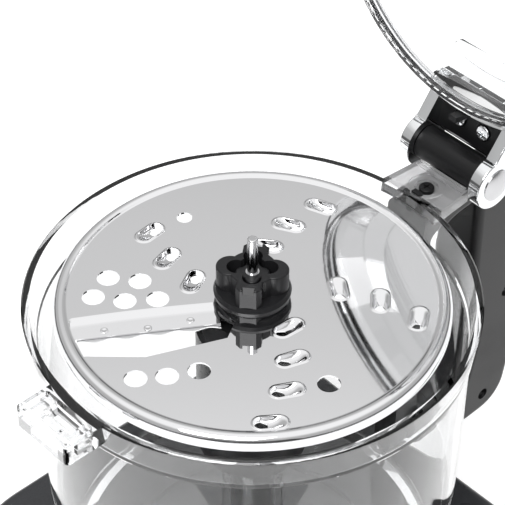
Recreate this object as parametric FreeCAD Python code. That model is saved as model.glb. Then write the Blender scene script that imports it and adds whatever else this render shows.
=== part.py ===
"""Hinged-lid food processor: motor base, clear work bowl, reversible slicing and shredding disc,
hinged lid with feed tube and pushers. Millimetres, +Z up, origin on the bowl's axis at table level,
+X towards the handle and hinge, -Y towards the control panel. The lid is modelled open."""

import FreeCAD, Part
import math
import os

Vec = FreeCAD.Vector
UP = Vec(0, 0, 1)
ALONG_X = Vec(1, 0, 0)
ALONG_Y = Vec(0, 1, 0)

# ---- Driving dimensions ----
RIM_Z = 310.0  # top of the bowl's rim
RIM_R = 107.3
RIM_WALL = 3.6
COLLAR_DROP = 18.0  # height of the stepped collar under the rim
BOWL_TOP_R = 103.5
BOWL_WALL = 2.8
BOWL_FOOT_Z = 132.0
TUBE_R = 15.0  # sleeve in the middle of the bowl
TUBE_BORE = 12.2
TUBE_TOP_Z = 205.0

DISC_Z = 308.8  # upper face of the disc plate
DISC_R = 93.0
DISC_SHEET = 1.0
DISC_FLANGE = 6.0
HUB_TOP = 18.5  # above the disc's upper face
ADAPTER_TOP = 15.8
PIN_TOP = 35.8
PIN_R = 2.5
PIN_ROOT_R = 3.2

HINGE_X = 137.0
HINGE_Z = 315.0
HINGE_PIN_R = 3.0
BARREL_R = 9.0
BARREL_HALF = 20.0
LID_OPEN = 100.0  # degrees from closed to the open stop

BASE_HALF_X = 120.0
BASE_FRONT = -150.0
BASE_BACK = 120.0
BASE_TOP = 128.0
BASE_FLOOR = 6.0
BASE_CORNER = 56.0
BASE_WALL = 3.0
PANEL_TOP_Y = -113.0  # where the sloping control panel leaves the top face
PANEL_FOOT_Z = 66.0  # where it meets the front face

SPINDLE_R = 6.0
BELT_SPAN = 70.0  # from the spindle to the motor shaft
BIG_PULLEY_R = 42.0
SMALL_PULLEY_R = 10.5
PULLEY_Z = 18.0
PULLEY_HEIGHT = 14.0

GAP = 0.35  # between pieces of different bodies
RUN = 0.05  # radial clearance of a shaft in its bore


# ---- Shape helpers ----
def cylinder(radius, low, high, x=0.0, y=0.0):
    return Part.makeCylinder(radius, high - low, Vec(x, y, low))


def ring(outer, inner, low, high, x=0.0, y=0.0):
    return cylinder(outer, low, high, x, y).cut(cylinder(inner, low - 1, high + 1, x, y))


def cross_rod(radius, y_low, y_high, x, z):
    """A cylinder lying along Y."""
    return Part.makeCylinder(radius, y_high - y_low, Vec(x, y_low, z), ALONG_Y)


def block(x_low, x_high, y_low, y_high, z_low, z_high):
    return Part.makeBox(x_high - x_low, y_high - y_low, z_high - z_low, Vec(x_low, y_low, z_low))


def polygon_face(points):
    return Part.Face(Part.makePolygon(points + [points[0]]))


def turned(profile):
    """A solid of revolution about Z from (radius, z) points."""
    return polygon_face([Vec(r, 0, z) for r, z in profile]).revolve(Vec(0, 0, 0), UP, 360)


def side_prism(profile, y_low, y_high):
    """A prism along Y from (x, z) points."""
    face = polygon_face([Vec(x, y_low, z) for x, z in profile])
    return face.extrude(Vec(0, y_high - y_low, 0))


def fused(shapes):
    return shapes[0].multiFuse(shapes[1:]).removeSplitter() if len(shapes) > 1 else shapes[0]


def spin(shape, degrees, centre=Vec(0, 0, 0), axis=UP):
    turned_shape = shape.copy()
    turned_shape.rotate(centre, axis, degrees)
    return turned_shape


def moved(shape, x=0.0, y=0.0, z=0.0):
    copy = shape.copy()
    copy.translate(Vec(x, y, z))
    return copy


def softened(shape, radius, chosen):
    """Fillet the edges for which chosen(edge) is true; a smaller radius if the full one won't close."""
    for size in (radius, 0.6 * radius, 0.3 * radius):
        edges = [e for e in shape.Edges if chosen(e)]
        try:
            result = shape.makeFillet(size, edges)
        except Part.OCCError:
            continue
        if result.isValid() and result.Volume > 0.5 * shape.Volume:
            return result
    return shape


def upright(edge):
    """A straight edge along Z."""
    if edge.Curve.TypeId != "Part::GeomLine":
        return False
    return abs(abs(edge.tangentAt(edge.FirstParameter).z) - 1) < 1e-6


def level_at(height):
    """Chooses edges lying at one height."""
    return lambda e: abs(e.BoundBox.ZMin - height) < 1e-4 and abs(e.BoundBox.ZMax - height) < 1e-4


def across(edge):
    """An edge that doesn't run along Y: the outline of a side prism."""
    return edge.BoundBox.YLength < 1e-6


def rounded_plate(x_low, x_high, y_low, y_high, corner, z_low, z_high):
    plate = block(x_low, x_high, y_low, y_high, z_low, z_high)
    return plate.makeFillet(corner, [e for e in plate.Edges if upright(e)])


def coil_spring(radius, wire, low, high, turns, x=0.0, y=0.0):
    """A round-wire compression spring standing on Z."""
    helix = Part.makeHelix((high - low - wire) / turns, high - low - wire, radius)
    start = Part.Wire(Part.Circle(Vec(radius, 0, 0), ALONG_Y, wire / 2).toShape())
    coil = Part.Wire(helix.Edges).makePipeShell([start], True, True)
    return moved(coil, x, y, low + wire / 2)


def screw(radius, length, head_radius, head_height, x, y, head_z, facing=1):
    """A pan-head screw whose head sits at head_z; facing 1 puts the head on top, -1 underneath."""
    head = cylinder(head_radius, 0, head_height)
    head = softened(head, 0.3 * head_height, level_at(head_height))
    cross = block(-0.55 * head_radius, 0.55 * head_radius, -0.35, 0.35, 0.5 * head_height, 9)
    head = head.cut(cross).cut(spin(cross, 90))
    body = head.fuse(cylinder(radius, -length, 0))
    if facing < 0:
        body = spin(body, 180, axis=ALONG_X)
    return moved(body, x, y, head_z)


def opened(shape):
    """Turn a lid piece from its closed place to the open place it is stored in."""
    return spin(shape, LID_OPEN, Vec(HINGE_X, 0, HINGE_Z), ALONG_Y)


def save(name, shape):
    solids = shape.Solids
    if not solids or not all(s.isValid() for s in solids):
        raise ValueError(name + " is not a sound solid")
    whole = solids[0] if len(solids) == 1 else Part.makeCompound(solids)
    whole.exportStep("parts/" + name + ".step")


os.makedirs("parts", exist_ok=True)


# ---- Motor base ----
def base_form(inset, top_inset, low):
    """The base's outline: a rounded box whose front top edge is cut off by the control panel's slope."""
    form = rounded_plate(
        -BASE_HALF_X + inset, BASE_HALF_X - inset, BASE_FRONT + inset, BASE_BACK - inset,
        BASE_CORNER - inset, low, BASE_TOP - top_inset,
    )
    run, rise = PANEL_TOP_Y - BASE_FRONT, BASE_TOP - PANEL_FOOT_Z
    slope = math.hypot(run, rise)
    shift = inset * slope / run  # vertical shift that keeps the wall even
    slab = [
        Vec(-200, BASE_FRONT - run, PANEL_FOOT_Z - rise - shift),
        Vec(-200, PANEL_TOP_Y + run, BASE_TOP + rise - shift),
        Vec(-200, PANEL_TOP_Y + run, 400),
        Vec(-200, BASE_FRONT - run, 400),
    ]
    return form.cut(polygon_face(slab).extrude(Vec(400, 0, 0)))


PANEL_RUN = PANEL_TOP_Y - BASE_FRONT
PANEL_RISE = BASE_TOP - PANEL_FOOT_Z
PANEL_LENGTH = math.hypot(PANEL_RUN, PANEL_RISE)
PANEL_TILT = math.degrees(math.atan2(PANEL_RISE, PANEL_RUN))
PANEL_MIDDLE = Vec(0, (BASE_FRONT + PANEL_TOP_Y) / 2, (PANEL_FOOT_Z + BASE_TOP) / 2)
BUTTONS = {"pulse": -36.0, "low": 0.0, "high": 36.0}
BUTTON_R = 9.0


def on_panel(shape):
    """Carry a shape drawn flat about the origin, facing +Z, onto the sloping panel."""
    tilted = spin(shape, PANEL_TILT, axis=ALONG_X)
    return moved(tilted, PANEL_MIDDLE.x, PANEL_MIDDLE.y, PANEL_MIDDLE.z)


FEET = [(-78, -108), (78, -108), (-78, 82), (78, 82), (0, 0)]  # the last is under the drive
PLATE_SCREWS = [(-62, -132), (62, -132), (-62, 102), (62, 102)]
GLAND_X, GLAND_Z, GLAND_BORE = -25.0, 34.0, 4.0
SWITCH_X = 110.0  # the interlock rod comes down here
SEAT_Z = BOWL_FOOT_Z - GAP


def base_housing():
    shell = base_form(0, 0, BASE_FLOOR)
    shell = softened(shell, 7, lambda e: level_at(BASE_TOP)(e))
    shell = shell.cut(base_form(BASE_WALL, BASE_WALL, BASE_FLOOR - 1))
    for x in BUTTONS.values():
        shell = shell.cut(on_panel(cylinder(BUTTON_R + GAP, -20, 20, x)))
    shell = shell.cut(on_panel(cylinder(2.2, -20, 20, 0, 20)))
    shell = shell.cut(cylinder(11, BASE_TOP - 20, BASE_TOP + 20))
    shell = shell.cut(cylinder(3.2, BASE_TOP - 20, BASE_TOP + 20, SWITCH_X))
    gland = Part.makeCylinder(7, 40, Vec(GLAND_X, BASE_BACK - 20, GLAND_Z), ALONG_Y)
    shell = shell.cut(gland)
    for row in range(5):
        for column in range(12):
            x = -33 + 11 * column
            vent = block(x - 2, x + 2, BASE_BACK - 20, BASE_BACK + 20, 62 + 11 * row, 68 + 11 * row)
            shell = shell.cut(vent)
    posts = [ring(5, 1.4, 16, 40, x, y) for x, y in PLATE_SCREWS]
    ribs = []
    for x, y in PLATE_SCREWS:
        wall_y = BASE_FRONT + 2 if y < 0 else BASE_BACK - 2
        rib = block(x - 5, x + 5, min(y, wall_y), max(y, wall_y), 16, 40)
        ribs.append(rib.cut(cylinder(1.4, 10, 50, x, y)))
    return fused([shell] + posts + ribs)


def base_trim():
    """Bright band round the foot of the housing."""
    outer = rounded_plate(-BASE_HALF_X - 1, BASE_HALF_X + 1, BASE_FRONT - 1, BASE_BACK + 1,
                          BASE_CORNER + 1, 10, 18)
    inner = rounded_plate(-BASE_HALF_X - RUN, BASE_HALF_X + RUN, BASE_FRONT - RUN, BASE_BACK + RUN,
                          BASE_CORNER + RUN, 9, 19)
    return outer.cut(inner)


def bottom_plate():
    inset = BASE_WALL + 0.2
    plate = rounded_plate(-BASE_HALF_X + inset, BASE_HALF_X - inset, BASE_FRONT + inset,
                          BASE_BACK - inset, BASE_CORNER - inset, BASE_FLOOR, BASE_FLOOR + 3)
    for x, y in PLATE_SCREWS:
        plate = plate.fuse(ring(5, 1.8, BASE_FLOOR + 3, 16, x, y))
        plate = plate.cut(cylinder(1.8, 0, 30, x, y)).cut(cylinder(3.6, 0, BASE_FLOOR + 6.2, x, y))
    for x, y in FEET:
        plate = plate.cut(cylinder(4, 0, 20, x, y))
    for step in range(-5, 6):
        slot = block(9 * step - 2.2, 9 * step + 2.2, 52, 88, 0, 20)
        plate = plate.cut(slot)
    return plate


def rubber_feet():
    pad = softened(cylinder(12, 0, BASE_FLOOR), 1.5, level_at(0))
    foot = pad.fuse(cylinder(4, BASE_FLOOR, BASE_FLOOR + 3))
    return Part.makeCompound([moved(foot, x, y) for x, y in FEET])


def bowl_seat():
    """Raised ring that the bowl stands on, with three twist lugs."""
    seat = turned([(62, BASE_TOP), (96, BASE_TOP), (96, SEAT_Z), (62, SEAT_Z)])
    lugs = [
        spin(block(24, 40, -6, 6, BASE_TOP, BASE_TOP + 8), angle) for angle in (30, 150, 270)
    ]
    collar = ring(40, 11.5, BASE_TOP, BASE_TOP + 3)
    return [seat, fused([collar] + lugs)]


def control_panel():
    plate = block(-70, 70, -0.4 * PANEL_LENGTH, 0.4 * PANEL_LENGTH, 0, 1.6)
    plate = plate.makeFillet(12, [e for e in plate.Edges if upright(e)])
    for x in BUTTONS.values():
        plate = plate.cut(cylinder(BUTTON_R + GAP, -5, 5, x))
    return on_panel(plate.cut(cylinder(2, -5, 5, 0, 20)))


def button(x):
    cap = softened(cylinder(BUTTON_R, 1, 6.5, x), 1.6, level_at(6.5))
    stem = cylinder(BUTTON_R - 1.6, -4, 1, x)
    well = cylinder(BUTTON_R - 3, -5, -1, x)
    return on_panel(cap.fuse(stem).cut(well).fuse(cylinder(1.6, -6.5, 1, x)))


def button_spring(x):
    return on_panel(coil_spring(3.2, 0.7, -13.4, -1.3, 5, x))


def control_board():
    board = block(-52, 52, -12, 22, -15.6, -14)
    switches = [block(x - 4, x + 4, -4, 4, -14, -13.4) for x in BUTTONS.values()]
    caps = [cylinder(1.8, -13.4, -10.6, x) for x in BUTTONS.values()]
    lamp = cylinder(1.9, -14, 1.2, 0, 20)
    return on_panel(fused([board, lamp] + switches + caps))


def cord_gland():
    """Moulded strain relief where a power cord would enter."""
    sleeve = Part.makeCylinder(7, 12, Vec(GLAND_X, BASE_BACK - 6, GLAND_Z), ALONG_Y)
    flange = Part.makeCylinder(10, 2.5, Vec(GLAND_X, BASE_BACK, GLAND_Z), ALONG_Y)
    bore = Part.makeCylinder(GLAND_BORE, 60, Vec(GLAND_X, BASE_BACK - 30, GLAND_Z), ALONG_Y)
    return sleeve.fuse(flange).cut(bore)


for name, shape in (
    ("base_housing", base_housing()), ("base_trim", base_trim()), ("bottom_plate", bottom_plate()),
    ("rubber_feet", rubber_feet()), ("bowl_seat", bowl_seat()[0]), ("drive_boss", bowl_seat()[1]),
    ("control_panel", control_panel()), ("control_board", control_board()),
    ("cord_gland", cord_gland()),
):
    save(name, shape)
for name, x in BUTTONS.items():
    save("button_" + name, button(x))
    save("button_spring_" + name, button_spring(x))
save("bottom_screws", Part.makeCompound(
    [screw(1.4, 22, 3.3, 2.2, x, y, BASE_FLOOR + 6.0, -1) for x, y in PLATE_SCREWS]))


# ---- Motor and belt drive ----
MOTOR_R = 38.0
ROTOR_R = 21.0
SHAFT_R = 4.0
CORE_LOW, CORE_HIGH = 52.0, 92.0
MOUNT_Z = 36.0
TOP_MOUNT_Z = 103.0
LEG_ANGLES = (20.0, 90.0, 160.0)


def at_motor(shape):
    return moved(shape, 0, BELT_SPAN)


def leg_places(radius):
    return [(radius * math.cos(math.radians(a)), radius * math.sin(math.radians(a))) for a in LEG_ANGLES]


def motor_stator():
    """Laminated core with inward poles, held by three through screws."""
    core = ring(MOTOR_R - 3.5, MOTOR_R - 9, CORE_LOW, CORE_HIGH)
    poles = [
        spin(block(ROTOR_R + 0.5, MOTOR_R - 8, -4, 4, CORE_LOW, CORE_HIGH), 60 * n) for n in range(6)
    ]
    return at_motor(fused([core] + poles).cut(cylinder(ROTOR_R + 0.6, 0, 200)))


def motor_windings():
    """Copper coil ends above and below the core."""
    low = ring(MOTOR_R - 9.5, ROTOR_R + 1.5, CORE_LOW - 8, CORE_LOW)
    high = ring(MOTOR_R - 9.5, ROTOR_R + 1.5, CORE_HIGH, CORE_HIGH + 8)
    return Part.makeCompound([at_motor(low), at_motor(high)])


def motor_rotor():
    core = ring(ROTOR_R, SHAFT_R, CORE_LOW, CORE_HIGH)
    for n in range(12):
        core = core.cut(spin(block(ROTOR_R - 4, ROTOR_R + 1, -1, 1, 0, 200), 30 * n))
    commutator = ring(9, SHAFT_R, CORE_LOW - 8, CORE_LOW - 1)
    return [at_motor(core), at_motor(commutator)]


def motor_fan():
    hub_part = ring(7, SHAFT_R, 112, 121)
    plate = ring(28, 6.5, 112, 113.5)
    blades = [spin(block(6.5, 27, -0.8, 0.8, 113, 120), 40 * n) for n in range(9)]
    return at_motor(fused([hub_part, plate] + blades))


def motor_frame():
    """Two end plates on three posts that stand on the bottom plate."""
    parts = []
    for low in (MOUNT_Z, TOP_MOUNT_Z):
        parts.append(ring(MOTOR_R, 11, low, low + 4))
    parts.append(ring(14, 11, MOUNT_Z, MOUNT_Z + 7))
    parts.append(ring(14, 11, TOP_MOUNT_Z - 3, TOP_MOUNT_Z + 4))
    for x, y in leg_places(MOTOR_R - 0.5):
        parts.append(cylinder(3, BASE_FLOOR + 3, TOP_MOUNT_Z + 4, x, y))
    frame = fused(parts)
    for x, y in leg_places(MOTOR_R - 0.5):
        frame = frame.cut(cylinder(1.2, TOP_MOUNT_Z - 8, TOP_MOUNT_Z + 10, x, y))
    return at_motor(frame)


def ball_bearing(bore, outer, low, high):
    """Sealed ball bearing as one ring with its shield grooves."""
    bearing = ring(outer, bore, low, high)
    middle = (bore + outer) / 2
    for z in (low - 1, high - 0.4):
        bearing = bearing.cut(ring(middle + 1.6, middle - 1.6, z, z + 1.4))
    return bearing


def belt_loop(extra, low, high):
    """The band's outline round both pulleys, offset outwards by extra."""
    big, small = BIG_PULLEY_R + extra, SMALL_PULLEY_R + extra
    lean = math.asin((big - small) / BELT_SPAN)
    c, s = math.cos(lean), math.sin(lean)
    right = [Vec(big * c, big * s, low), Vec(small * c, BELT_SPAN + small * s, low)]
    left = [Vec(-p.x, p.y, low) for p in right]
    edges = [
        Part.makeLine(right[0], right[1]),
        Part.Arc(right[1], Vec(0, BELT_SPAN + small, low), left[1]).toShape(),
        Part.makeLine(left[1], left[0]),
        Part.Arc(left[0], Vec(0, -big, low), right[0]).toShape(),
    ]
    return Part.Face(Part.Wire(edges)).extrude(Vec(0, 0, high - low))


def drive_belt():
    low, high = PULLEY_Z + 2, PULLEY_Z + PULLEY_HEIGHT - 2
    return belt_loop(2.2, low, high).cut(belt_loop(0.2, low, high))


def pulley(radius, bore):
    wheel = ring(radius, bore, PULLEY_Z, PULLEY_Z + PULLEY_HEIGHT)
    for z in (PULLEY_Z, PULLEY_Z + PULLEY_HEIGHT - 1.6):
        wheel = wheel.fuse(ring(radius + 3, bore, z, z + 1.6))
    if radius > 30:
        wheel = wheel.cut(ring(radius - 4, bore + 6, PULLEY_Z + 5, PULLEY_Z + PULLEY_HEIGHT + 1))
        for n in range(6):
            wheel = wheel.cut(spin(cylinder(7, 0, 60, 25), 60 * n))
    return wheel


SPINDLE_TOP = 192.0
SPINDLE_FLAT = 4.8


def spindle_form(grow, low, high):
    """A round shaft with two drive flats on its upper part."""
    flat = block(-SPINDLE_FLAT - grow, SPINDLE_FLAT + grow, -20, 20, low, high)
    return cylinder(SPINDLE_R + grow, low, high).common(flat)


def drive_spindle():
    shaft = cylinder(SPINDLE_R, PULLEY_Z - 3, BASE_TOP + 10)
    tip = spindle_form(0, BASE_TOP + 10, SPINDLE_TOP)
    return shaft.fuse(tip)


def spindle_housing():
    """Bearing tube hanging from the base's top by a webbed flange."""
    tube = ring(15, 11, 46, BASE_TOP - BASE_WALL)
    flange = ring(38, 11, BASE_TOP - BASE_WALL - 4, BASE_TOP - BASE_WALL)
    webs = [spin(block(14, 34, -1.5, 1.5, 100, BASE_TOP - BASE_WALL), 45 + 90 * n) for n in range(4)]
    stop = ring(11.5, 9, 76, 80)
    return fused([tube, flange, stop] + webs)


def interlock_switch():
    """Microswitch under the opening that the bowl's interlock rod reaches through."""
    case = block(SWITCH_X - 12, SWITCH_X + 3, -3.4, 3.4, 98, 118)
    lever = block(SWITCH_X - 11, SWITCH_X + 2.6, -2.4, 2.4, 122.4, 123)
    hinge = block(SWITCH_X - 11, SWITCH_X - 10, -2.4, 2.4, 118, 123)
    plunger = cylinder(1, 117, 122.4, SWITCH_X - 5)
    return fused([case, lever, hinge, plunger])


rotor, commutator = motor_rotor()
for name, shape in (
    ("motor_stator", motor_stator()), ("motor_windings", motor_windings()),
    ("motor_rotor", rotor), ("motor_commutator", commutator), ("motor_fan", motor_fan()),
    ("motor_shaft", at_motor(cylinder(SHAFT_R, PULLEY_Z - 2, 122))),
    ("motor_frame", motor_frame()),
    ("motor_bearings", Part.makeCompound([
        at_motor(ball_bearing(SHAFT_R + RUN, 11, MOUNT_Z, MOUNT_Z + 6)),
        at_motor(ball_bearing(SHAFT_R + RUN, 11, TOP_MOUNT_Z - 2, TOP_MOUNT_Z + 4))])),
    ("motor_pulley", at_motor(pulley(SMALL_PULLEY_R, SHAFT_R))),
    ("drive_belt", drive_belt()), ("spindle_pulley", pulley(BIG_PULLEY_R, SPINDLE_R)),
    ("drive_spindle", drive_spindle()), ("spindle_housing", spindle_housing()),
    ("spindle_bearings", Part.makeCompound([
        ball_bearing(SPINDLE_R + RUN, 11, 48, 56), ball_bearing(SPINDLE_R + RUN, 11, 110, 118)])),
    ("interlock_switch", interlock_switch()),
):
    save(name, shape)
save("motor_screws", Part.makeCompound(
    [screw(1.2, 7, 2.8, 2, x, y + BELT_SPAN, TOP_MOUNT_Z + 4) for x, y in leg_places(MOTOR_R - 0.5)]))


# ---- Work bowl, handle and hinge barrel ----
CATCH_OUT, CATCH_HALF, CATCH_DEPTH = 126.0, 17.8, 11.0
SLOT_IN, LEDGE, SLOT_OUT = 109.0, 117.0, 121.0  # catch slot: distances from the bowl's axis
SLOT_HALF, LEDGE_Z = 9.5, 305.5
CATCH_FLOOR = 307.6  # bottom of the shallow tray in the catch's top
PAD_OUT, PAD_HALF_IN, PAD_HALF_OUT, PAD_DEPTH = 129.0, 18.8, 16.4, 7.0
PAD_SCREW_X = 116.5
ROD_IN, ROD_OUT, ROD_HALF = 108.6, 111.4, 2.8
ROD_TRAVEL = 5.0
HANDLE_HALF = 13.0
HANDLE_TOP = RIM_Z - PAD_DEPTH


def bowl_outline(inset):
    """(radius, z) down the outside of the bowl, moved inwards by inset."""
    return [
        (RIM_R - inset, RIM_Z), (RIM_R - 2.3 - inset, RIM_Z - COLLAR_DROP),
        (BOWL_TOP_R - inset, RIM_Z - COLLAR_DROP - 1.5), (101.2 - inset, 198), (97 - inset, 142),
    ]


def bowl_shell():
    """Clear bowl with its stepped collar, spindle sleeve, latch catch and hinge pad."""
    outside = [(RIM_R - 0.8, RIM_Z), (RIM_R, RIM_Z - 0.8)] + bowl_outline(0)[1:]
    inside = bowl_outline(BOWL_WALL)
    inside[0] = (RIM_R - RIM_WALL, RIM_Z)
    inside[1] = (RIM_R - 2.3 - RIM_WALL, RIM_Z - COLLAR_DROP + 1.5)
    foot = [(97, BOWL_FOOT_Z), (94.5, BOWL_FOOT_Z), (93, 137), (TUBE_BORE + 6, 137),
            (TUBE_BORE + 2, 134), (TUBE_BORE, 134)]
    sleeve = [(TUBE_BORE, TUBE_TOP_Z), (TUBE_R, TUBE_TOP_Z), (TUBE_R + 0.8, 146), (TUBE_R + 6, 140)]
    floor = [(86, 140), (92, 145)]
    shell = turned(outside + foot + sleeve + floor + inside[::-1][1:])
    keep_out = cylinder(RIM_R - 1.5, 200, 400)
    catch = rounded_plate(-CATCH_OUT, -90, -CATCH_HALF, CATCH_HALF, 2.5, RIM_Z - CATCH_DEPTH, RIM_Z)
    catch = catch.cut(keep_out)
    slot_up = block(-LEDGE, -SLOT_IN, -SLOT_HALF, SLOT_HALF, 290, 320)
    slot_low = block(-SLOT_OUT, -SLOT_IN, -SLOT_HALF, SLOT_HALF, 290, LEDGE_Z)
    tray = rounded_plate(-CATCH_OUT + 2, -SLOT_IN, -CATCH_HALF + 2, CATCH_HALF - 2, 1.5, CATCH_FLOOR, 330)
    block_top = block(-CATCH_OUT + 4.5, -LEDGE - 0.5, -6.5, 6.5, CATCH_FLOOR - 1, RIM_Z - 0.8)
    side_window = block(-120, -112, -40, 40, CATCH_FLOOR - 5.5, CATCH_FLOOR - 2.4)
    catch = catch.cut(tray).fuse(block_top).cut(side_window).cut(slot_up).cut(slot_low)
    pad_outline = [
        Vec(100, -PAD_HALF_IN, HANDLE_TOP), Vec(PAD_OUT, -PAD_HALF_OUT, HANDLE_TOP),
        Vec(PAD_OUT, PAD_HALF_OUT, HANDLE_TOP), Vec(100, PAD_HALF_IN, HANDLE_TOP),
    ]
    pad = polygon_face(pad_outline).extrude(Vec(0, 0, PAD_DEPTH))
    pad = softened(pad.cut(keep_out), 1.2, lambda e: level_at(RIM_Z)(e) and e.BoundBox.XMin > 108)
    pad = pad.cut(cylinder(9.4, RIM_Z - 1.2, RIM_Z + 5, PAD_SCREW_X))
    pad = pad.cut(cylinder(6, RIM_Z - 3, RIM_Z + 5, PAD_SCREW_X))
    pad = pad.cut(cylinder(2.1, 200, 400, PAD_SCREW_X))
    rod_hole = block(ROD_IN - GAP, ROD_OUT + GAP, -ROD_HALF - GAP, ROD_HALF + GAP, 290, 400)
    ridges = [block(x, x + 1.2, -15.4, 15.4, RIM_Z - 0.5, RIM_Z + 0.8)
              for x in (PAD_OUT - 1.7, PAD_OUT - 4.6)]
    return fused([shell, catch, pad] + ridges).cut(rod_hole)


def rounded_outline(points, radii):
    """A closed wire in the XZ plane: straight runs between (x, z) corners, each rounded by its radius."""
    corners = [Vec(x, 0, z) for x, z in points]
    edges, starts, ends = [], [], []
    for i, corner in enumerate(corners):
        back = (corners[i - 1] - corner).normalize()
        ahead = (corners[(i + 1) % len(corners)] - corner).normalize()
        half = math.acos(back.dot(ahead)) / 2
        reach = radii[i] / math.tan(half)
        starts.append(corner + back * reach)
        ends.append(corner + ahead * reach)
        if radii[i]:
            middle = (back + ahead).normalize() * (radii[i] / math.sin(half) - radii[i])
            edges.append(Part.Arc(starts[i], corner + middle, ends[i]).toShape())
    for i, end in enumerate(ends):
        edges.append(Part.makeLine(end, starts[(i + 1) % len(corners)]))
    return Part.Wire(Part.__sortEdges__(edges))


HANDLE_OUTLINE = [(99, HANDLE_TOP), (168, HANDLE_TOP), (188.5, 272), (188, 200), (176, 133),
                  (146, 131), (99, 139)]
HANDLE_RADII = [0, 24, 40, 300, 20, 60, 0]
GAP_OUTLINE = [(113.2, 286), (126, 291.5), (143, 293), (143, 240), (152, 200), (142, 156), (113.2, 152)]
GAP_RADII = [4, 30, 5, 90, 70, 16, 10]


def handle_form():
    """D-shaped handle: outline and finger gap drawn in the XZ plane, drawn out along Y."""
    body = Part.Face(rounded_outline(HANDLE_OUTLINE, HANDLE_RADII)).extrude(Vec(0, 2 * HANDLE_HALF, 0))
    gap = Part.Face(rounded_outline(GAP_OUTLINE, GAP_RADII)).extrude(Vec(0, 60, 0))
    body = moved(body, 0, -HANDLE_HALF).cut(moved(gap, 0, -30))
    return softened(body, 4.5, lambda e: across(e) and e.BoundBox.XMin > 99.5)


def handle_shell():
    body = handle_form()
    bowl_space = turned([(0, 100)] + [(0, 400), (RIM_R + 0.05, 400)]
                        + [(r + 0.05, z) for r, z in bowl_outline(0)] + [(97.05, 100)])
    body = body.cut(bowl_space)
    side = block(90, 113.4, 7.5, 40, 100, 283)  # narrows the spine beside the finger gap
    body = body.cut(side).cut(moved(side, 0, -47.5))
    channel = block(ROD_IN - GAP, ROD_OUT + GAP, -ROD_HALF - GAP, ROD_HALF + GAP, 100, 400)
    body = body.cut(channel)
    body = body.cut(block(ROD_IN - 1.6, ROD_OUT + 1.4, -4.2, 4.2, 150, 176))  # spring pocket
    return body.cut(cylinder(1.7, 280, 400, PAD_SCREW_X))


def handle_half(side):
    """One moulded half; the halves meet on the plane y = 0."""
    keep = block(0, 300, 0, 60, 0, 400) if side > 0 else block(0, 300, -60, 0, 0, 400)
    half = handle_shell().common(keep)
    for x, z in HANDLE_SCREWS:
        if side > 0:
            half = half.cut(cross_rod(1.4, 0, HANDLE_HALF - 3, x, z))
        else:
            half = half.cut(cross_rod(1.8, -60, 0, x, z)).cut(cross_rod(3.4, -60, -HANDLE_HALF + 4, x, z))
    return half


HANDLE_SCREWS = [(160, 288), (160, 145), (171, 215)]
BARREL_COLLAR_R = 10.0


def handle_screws():
    screws = []
    for x, z in HANDLE_SCREWS:
        upright_screw = screw(1.4, 17, 3.1, 2.2, 0, 0, 0)
        lying = spin(upright_screw, 90, axis=ALONG_X)  # head towards -Y
        screws.append(moved(lying, x, -HANDLE_HALF + 4, z))
    return Part.makeCompound(screws)


def hinge_barrel():
    """Black barrel on the handle's top that the lid's pin turns in."""
    barrel = cross_rod(BARREL_R, -BARREL_HALF, BARREL_HALF, HINGE_X, HINGE_Z)
    barrel = barrel.fuse(cross_rod(BARREL_COLLAR_R, -BARREL_HALF, -BARREL_HALF + 4, HINGE_X, HINGE_Z))
    saddle = block(HINGE_X - 6.5, HINGE_X + 7.5, -11, 11, HANDLE_TOP - 4, HINGE_Z - 4)
    barrel = barrel.fuse(saddle)
    return barrel.cut(cross_rod(HINGE_PIN_R + RUN, -60, 60, HINGE_X, HINGE_Z))


def interlock_rod():
    """Flat rod that the closed lid pushes down to the switch in the base."""
    rod = block(ROD_IN, ROD_OUT, -ROD_HALF, ROD_HALF, 131.0, RIM_Z - 0.5)
    shoulder = block(ROD_IN, ROD_OUT, -3.8, 3.8, 172, 174)
    return rod.cut(ring(9, 1.35, 100, 172, SWITCH_X)).fuse(shoulder)


barrel_space = hinge_barrel().fuse(cross_rod(BARREL_R + 0.05, -BARREL_HALF, BARREL_HALF, HINGE_X, HINGE_Z))
for name, shape in (
    ("bowl_shell", bowl_shell()), ("hinge_barrel", hinge_barrel()),
    ("handle_left", handle_half(1).cut(barrel_space)),
    ("handle_right", handle_half(-1).cut(barrel_space)),
    ("handle_screws", handle_screws()),
    ("pad_screw", screw(1.7, 14, 3.9, 2.4, PAD_SCREW_X, 0, RIM_Z - 3)),
    ("interlock_rod", interlock_rod()),
    ("interlock_spring", coil_spring(2.4, 0.8, 150.6, 171.8, 7, SWITCH_X)),
):
    save(name, shape)


# ---- Lid, latch and pushers: drawn closed, then turned open ----
LID_SEAT = RIM_Z + 0.4
LID_TOP = 334.0
TUBE_END = 420.0
TUBE_X, TUBE_Y, TUBE_CORNER = (-84.0, -20.0), 42.0, 31.0
TUBE_WALL = 2.5
PUSHER_LIFT = 40.0  # how far the pushers stand out of the tube as stored
BRACKET_LOW = 321.7
BRACKET_THICK = 4.4
ARM_IN, ARM_OUT, ARM_EYE = 20.4, 27.0, 13.5
LATCH_X, LATCH_Z = -114.5, 321.0
LATCH_SWING = 10.0
SMALL_TUBE_X, SMALL_TUBE_R = -52.0, 17.0


def tube_form(inset, low, high):
    return rounded_plate(TUBE_X[0] + inset, TUBE_X[1] - inset, -TUBE_Y + inset, TUBE_Y - inset,
                         TUBE_CORNER - inset, low, high)


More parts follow.
